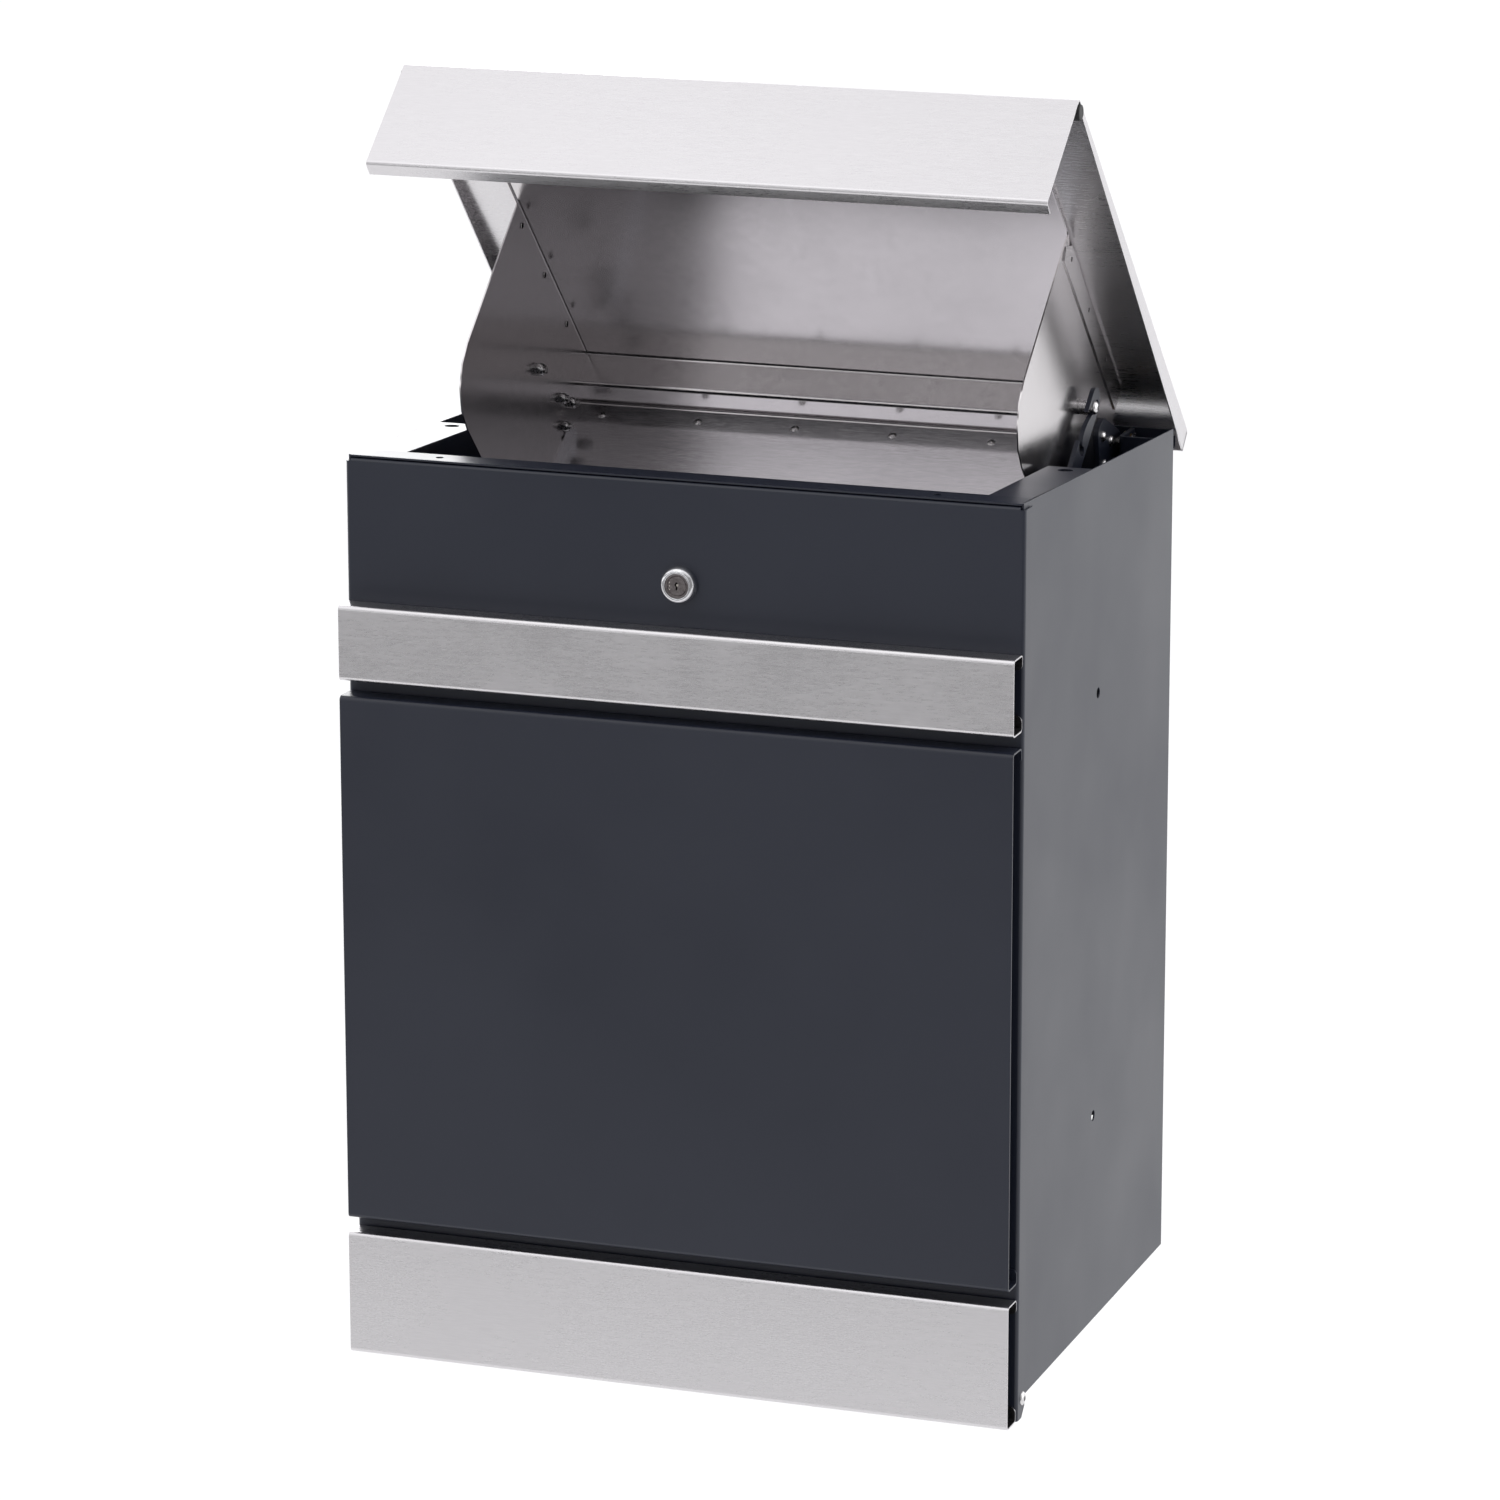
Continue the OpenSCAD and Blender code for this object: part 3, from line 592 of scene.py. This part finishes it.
def nutTree():
    tree, sockets, start = newTree("hexagonNuts", [
        ("Geometry", "Geometry"), ("Radius", "Float"), ("Height", "Float"), ("Bolt Radius", "Float"),
        ("Bolt End", "Float"), ("Finish", "Material")])
    radius, height = start.outputs["Radius"], start.outputs["Height"]
    half = treeMath(tree, "MULTIPLY", height, 0.5)
    prism = treeCylinder(tree, 6, radius, height, half)
    ball = tree.nodes.new("GeometryNodeMeshUVSphere")   # rounds the nut's corners
    ball.inputs["Segments"].default_value = treeSet["ballSegments"]
    ball.inputs["Rings"].default_value = treeSet["ballRings"]
    tree.links.new(treeMath(tree, "MULTIPLY", radius, treeSet["cornerBall"]), ball.inputs["Radius"])
    lift = tree.nodes.new("GeometryNodeTransform")
    tree.links.new(ball.outputs["Mesh"], lift.inputs["Geometry"])
    rise = treeMath(tree, "MULTIPLY", height, treeSet["ballLift"])
    tree.links.new(treeVector(tree, z=rise), lift.inputs["Translation"])
    body = treeBoolean(tree, "INTERSECT", prism, lift.outputs["Geometry"])
    bolt = start.outputs["Bolt Radius"]
    hole = treeCylinder(tree, treeSet["shankSides"], treeMath(tree, "MULTIPLY", bolt, treeSet["boltHole"]),
                        treeMath(tree, "MULTIPLY", height, treeSet["holeLength"]), half)
    body = treeBoolean(tree, "DIFFERENCE", body, hole)
    end = start.outputs["Bolt End"]
    shank = treeCylinder(tree, treeSet["shankSides"], bolt, end, treeMath(tree, "MULTIPLY", end, 0.5))
    both = tree.nodes.new("GeometryNodeJoinGeometry")
    tree.links.new(shank, both.inputs["Geometry"])
    tree.links.new(body, both.inputs["Geometry"])
    treeScatter(tree, start, both.outputs["Geometry"], "Finish")
    return tree, sockets


def scatter(name, spots, tree, values, finish):
    group, sockets = tree
    mesh = bpy.data.meshes.new(name)
    mesh.from_pydata([tuple(s["at"]) for s in spots], [], [])
    axis = mesh.attributes.new("axis", "FLOAT_VECTOR", "POINT")
    axis.data.foreach_set("vector", np.array([s["axis"] for s in spots], np.float32).ravel())
    piece = newPiece(name, mesh, finish)
    modifier = piece.modifiers.new("make", "NODES")
    modifier.node_group = group
    for key, value in values.items():
        modifier[sockets[key].identifier] = value
    modifier[sockets["Finish"].identifier] = finishes[finish]
    bakeModifiers(piece)
    sharpen(piece.data, meshSet["roundAngle"])
    return piece


heads, nuts = headTree(), nutTree()
headSet = {"none": 0.05, "socketDeep": 0.7, "tailWide": 1.35, "tailTall": 0.8}   # shares of the head
headSets = {   # socket: the hexagon socket's radius as a share of the head's; flat: a lower dome
    "tray_rivets": {"across": False, "socket": 0.0, "tail": True},
    "hopper_rivets": {"across": True, "socket": 0.0, "tail": True, "flat": 0.35},
    "cover_rivets": {"across": False, "socket": 0.0, "tail": True},
    "hinge_bolts": {"across": True, "socket": 0.42, "tail": False},
    "stay_bolts": {"across": True, "socket": 0.40, "tail": False},
    "stay_screws": {"across": True, "socket": 0.42, "tail": False},
    "door_pivot_screws": {"across": True, "socket": 0.42, "tail": False},
    "lock_cam_screw": {"across": False, "socket": 0.42, "tail": False},
}


def join(pieces, name):
    work = bmesh.new()
    for piece in pieces:
        work.from_mesh(piece.data)
    mesh = pieces[0].data.copy()
    work.to_mesh(mesh)
    work.free()
    for piece in pieces:
        bpy.data.objects.remove(piece)
    joined = bpy.data.objects.new(name, mesh)
    scene.collection.objects.link(joined)
    return joined


for node, settings in headSets.items():
    front, back = spotsOf(node, settings["across"])
    first = front[0]
    tiny = first["radius"] * headSet["none"]
    values = {"Radius": first["radius"], "Height": first["height"] * settings.get("flat", 1.0),
              "Socket Radius": first["radius"] * settings["socket"] or tiny,
              "Socket Depth": first["height"] * headSet["socketDeep"] if settings["socket"] else tiny,
              "Shank Radius": first["shank"], "Shank Length": first["length"]}
    made = [scatter(node + "_front", front, heads, values, "zinc")]
    if settings["tail"]:
        small = dict(values, **{"Radius": first["shank"] * headSet["tailWide"],
                                "Height": first["height"] * headSet["tailTall"],
                                "Shank Radius": tiny, "Shank Length": tiny})
        made.append(scatter(node + "_back", back, heads, small, "zinc"))
    attach(join(made, node + "_made"), bodyOf(node), "zinc", node)

nutSets = {"hinge_nuts": 0.0022, "stay_nuts": 0.0015, "door_pivot_nuts": 0.0010}   # bolt's end beyond the nut
for node, beyond in nutSets.items():
    spots = []
    for points in solidsOf(node):
        low, high = points.min(0), points.max(0)
        centre = (low + high) / 2
        side = math.copysign(1, centre[0])
        fromAxis = np.linalg.norm((points - centre)[:, 1:], axis=1)
        radius, bolt = float(fromAxis.max()), float(fromAxis.min())
        outer = high[0] if side > 0 else low[0]
        spots.append({"at": (outer, centre[1], centre[2]), "axis": (-side, 0, 0)})
    height = float(high[0] - low[0])
    values = {"Radius": radius, "Height": height, "Bolt Radius": bolt, "Bolt End": height + beyond}
    attach(scatter(node + "_made", spots, nuts, values, "zinc"), bodyOf(node), "zinc", node)
print("fasteners made")


# lock: a domed ring, and a plug with a grooved face, a keyway and a wafer behind it

lockSet = {"steps": 72, "wall": 0.0016, "lip": 0.0009, "lipRound": 0.0004, "fit": 0.00005, "groove": 0.00035,
           "grooveAt": 0.80, "tail": 0.004, "tailSteps": 32}
keySet = {"wide": 0.0011, "tall": 0.0052, "deep": 0.004, "bow": 2.3, "bowRise": 0.35, "bowSteps": 32,
          "waferWide": 1.5, "waferBack": 0.0007, "waferThick": 0.0022, "waferAside": 0.5, "waferRise": 0.2,
          "waferSteps": 24}
pinSet = {"radius": 0.00035, "ahead": 0.0001, "deep": 0.0004, "aside": 0.58, "apart": 0.28, "steps": 16}


def lathe(name, profile, centre, finish, steps):
    work = bmesh.new()
    rings = []
    for k in range(steps):
        turn = 2 * math.pi * k / steps
        rings.append([work.verts.new((centre.x + r * math.cos(turn), y, centre.z + r * math.sin(turn)))
                      for r, y in profile])
    for k in range(steps):
        here, there = rings[k], rings[(k + 1) % steps]
        for i in range(len(profile) - 1):
            work.faces.new((here[i], here[i + 1], there[i + 1], there[i]))
    bmesh.ops.remove_doubles(work, verts=work.verts, dist=1e-6)
    bmesh.ops.recalc_face_normals(work, faces=work.faces)
    mesh = bpy.data.meshes.new(name)
    work.to_mesh(mesh)
    work.free()
    piece = newPiece(name, mesh, finish)
    sharpen(mesh, meshSet["roundAngle"])
    return piece


def arc(centre, radii, start, end, steps):
    turns = [math.radians(start + (end - start) * k / steps) for k in range(steps + 1)]
    return [(centre[0] + radii[0] * math.cos(t), centre[1] - radii[1] * math.sin(t)) for t in turns]


def makeRing(settings, centre, low, high, bore, barrel):
    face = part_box("door_shell")[0].y
    rim = bore + settings["lip"]
    curl = settings["lipRound"]
    dome = arc((rim, face), ((high.x - low.x) / 2 - rim, face - low.y), 0, 90, 18)
    lip = arc((bore + curl, low.y + curl), (curl, curl), 90, 180, 5)
    profile = [(barrel, high.y), (barrel, face)] + dome + lip + [(bore, high.y), (barrel, high.y)]
    ring = lathe("lock_ring", profile, centre, "chrome", settings["steps"])
    attach(ring, "door", "chrome", "lock_body")


def cutKeyway(plug, key, centre, front):
    wide, tall = key["wide"] / 2, key["tall"] / 2
    bpy.ops.mesh.primitive_cylinder_add(vertices=key["bowSteps"], radius=wide * key["bow"],
                                        depth=key["deep"] * 2, rotation=(math.pi / 2, 0, 0),
                                        location=(centre.x, front, centre.z + tall * key["bowRise"]))
    bow = bpy.context.object
    bpy.ops.mesh.primitive_cube_add(size=1, location=(centre.x, front, centre.z))
    slot = bpy.context.object
    slot.scale = (key["wide"], key["deep"] * 2, key["tall"])
    for cutter in (bow, slot):
        cut = plug.modifiers.new("cut", "BOOLEAN")
        cut.operation = "DIFFERENCE"
        cut.object = cutter
        cut.solver = "EXACT"
    bakeModifiers(plug)
    for cutter in (bow, slot):
        bpy.data.objects.remove(cutter)
    sharpen(plug.data, meshSet["roundAngle"])


def makePlug(settings, key, centre, front, back, end, plugR):
    deep = settings["groove"]
    groove = plugR * settings["grooveAt"]
    edge = arc((plugR - deep, front + deep), (deep, deep), 90, 0, 4)
    profile = [(0, front), (groove - deep, front), (groove, front + deep), (groove + deep, front)] + edge
    profile += [(plugR, back), (0, back)]
    plug = lathe("lock_plug_face", profile, centre, "plugFace", settings["steps"])
    cutKeyway(plug, key, centre, front)
    attach(plug, "lock", "plugFace", "lock_plug")
    profile = [(0, back), (settings["tail"], back), (settings["tail"], end), (0, end)]
    tail = lathe("lock_tail", profile, centre, "plugFace", settings["tailSteps"])
    attach(tail, "lock", "plugFace")


def makeWafer(key, centre, front):
    near = front + key["waferBack"]
    far = near + key["waferThick"]
    radius = key["wide"] / 2 * key["waferWide"]
    spot = centre + Vector((key["wide"] / 2 * key["waferAside"], 0, key["tall"] / 2 * key["waferRise"]))
    profile = [(0, near), (radius, near), (radius, far), (0, far)]
    wafer = lathe("lock_wafer", profile, spot, "keyway", key["waferSteps"])
    attach(wafer, "lock", "keyway")


def makePins(pins, centre, front, plugR):
    profile = [(0, front - pins["ahead"]), (pins["radius"], front), (0, front + pins["deep"])]
    for k, letter in enumerate("abc"):
        spot = centre + Vector((-plugR * pins["aside"], 0, plugR * pins["apart"] * (1 - k)))
        pin = lathe("lock_pin_" + letter, profile, spot, "keyway", pins["steps"])
        attach(pin, "lock", "keyway")


def makeLock(settings, key, pins):
    low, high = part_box("lock_body")
    plugLow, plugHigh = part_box("lock_plug")
    centre = Vector(((low.x + high.x) / 2, 0, (low.z + high.z) / 2))
    plugR = (plugHigh.x - plugLow.x) / 2
    makeRing(settings, centre, low, high, plugR + settings["fit"], plugR + settings["wall"])
    makePlug(settings, key, centre, plugLow.y, high.y, plugHigh.y, plugR)
    makeWafer(key, centre, plugLow.y)
    makePins(pins, centre, plugLow.y, plugR)


makeLock(lockSet, keySet, pinSet)
print("lock made")


# room: white studio walls by direction, a pale floor and soft lights

roomSet = {   # each wall: light by height, from straight down at 0 to straight up at 1
    "floorDrop": 1.0, "floorFront": -3.4, "floorBack": 30, "floorHalf": 16, "floorColour": (0.93, 0.93, 0.93),
    "floorRoughness": 0.9, "blue": 1.01, "leftToRight": (-0.10, 0.20), "frontToRear": (-0.35, 0.35),
    "left": [(0.20, 0.60), (0.36, 0.34), (0.45, 0.42), (0.49, 1.40), (0.55, 1.40), (0.60, 0.22), (0.65, 0.22),
             (0.69, 1.25), (0.80, 1.20), (1.0, 1.15)],
    "right": [(0.20, 0.50), (0.40, 0.30), (0.75, 0.34), (0.88, 0.90), (1.0, 1.15)],
    "rear": [(0.30, 1.40), (0.50, 2.20), (0.72, 1.30), (1.0, 1.15)],
}
lights = {   # place, aim, size and power of each
    "sideSoftbox": ((3.0, 0.9, 1.0), (0.2, -0.15, 0.0), (2.2, 2.6), 9.5),
    "topSoftbox": ((-0.6, -1.2, 2.6), (0, -0.15, 0.3), (1.8, 1.4), 3),
    "rimCard": ((-0.62, 0.75, 0.62), (-0.2, -0.25, 0.29), (0.42, 0.5), 3.2),
}


def makeFloor(settings):
    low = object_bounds()[0].z - settings["floorDrop"]
    half, front, back = settings["floorHalf"], settings["floorFront"], settings["floorBack"]
    mesh = bpy.data.meshes.new("floor")
    mesh.from_pydata([(-half, front, low), (half, front, low), (half, back, low), (-half, back, low)], [],
                     [(0, 1, 2, 3)])
    floor = bpy.data.objects.new("floor", mesh)
    scene.collection.objects.link(floor)
    material, shader = newMaterial("floorPaper")[:2]
    shader.inputs["Base Color"].default_value = (*settings["floorColour"], 1)
    shader.inputs["Roughness"].default_value = settings["floorRoughness"]
    mesh.materials.append(material)
    floor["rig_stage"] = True


def ramp(nodes, links, value, stops, blue):
    node = nodes.new("ShaderNodeValToRGB")
    node.color_ramp.elements.remove(node.color_ramp.elements[1])
    for k, (at, level) in enumerate(stops):
        stop = node.color_ramp.elements[0] if k == 0 else node.color_ramp.elements.new(at)
        stop.position = at
        stop.color = (level, level, level * blue, 1)
    links.new(value, node.inputs[0])
    return node.outputs[0]


def blend(nodes, links, share, first, second):
    node = nodes.new("ShaderNodeMix")
    node.data_type = "RGBA"
    links.new(share, node.inputs[0])
    links.new(first, node.inputs[6])
    links.new(second, node.inputs[7])
    return node.outputs[2]


def makeWorld(settings):
    world = bpy.data.worlds.new("studio")
    world.use_nodes = True
    nodes, links = world.node_tree.nodes, world.node_tree.links
    nodes.clear()
    where = nodes.new("ShaderNodeTexCoord")
    parts = nodes.new("ShaderNodeSeparateXYZ")
    links.new(where.outputs["Generated"], parts.inputs[0])
    height = span(nodes, links, parts.outputs["Z"], 0, 1, -1, 1)
    across = span(nodes, links, parts.outputs["X"], 0, 1, *settings["leftToRight"])
    depth = span(nodes, links, parts.outputs["Y"], 0, 1, *settings["frontToRear"])
    left, right, rear = (ramp(nodes, links, height, settings[wall], settings["blue"])
                         for wall in ("left", "right", "rear"))
    colour = blend(nodes, links, depth, blend(nodes, links, across, left, right), rear)
    room = nodes.new("ShaderNodeBackground")
    links.new(colour, room.inputs[0])
    out = nodes.new("ShaderNodeOutputWorld")
    links.new(room.outputs[0], out.inputs[0])
    scene.world = world


def makeLight(name, spot, aim, size, power):
    data = bpy.data.lights.new(name, "AREA")
    data.shape = "RECTANGLE"
    data.size, data.size_y = size
    data.energy = power
    light = bpy.data.objects.new(name, data)
    scene.collection.objects.link(light)
    light.location = spot
    light.rotation_euler = (Vector(aim) - Vector(spot)).to_track_quat("-Z", "Y").to_euler()
    light.visible_camera = False


makeCamera(cameraSet)
makeFloor(roomSet)
makeWorld(roomSet)
for name, (spot, aim, size, power) in lights.items():
    makeLight(name, spot, aim, size, power)
scene.view_settings.view_transform = "Standard"
print("room and lights set")
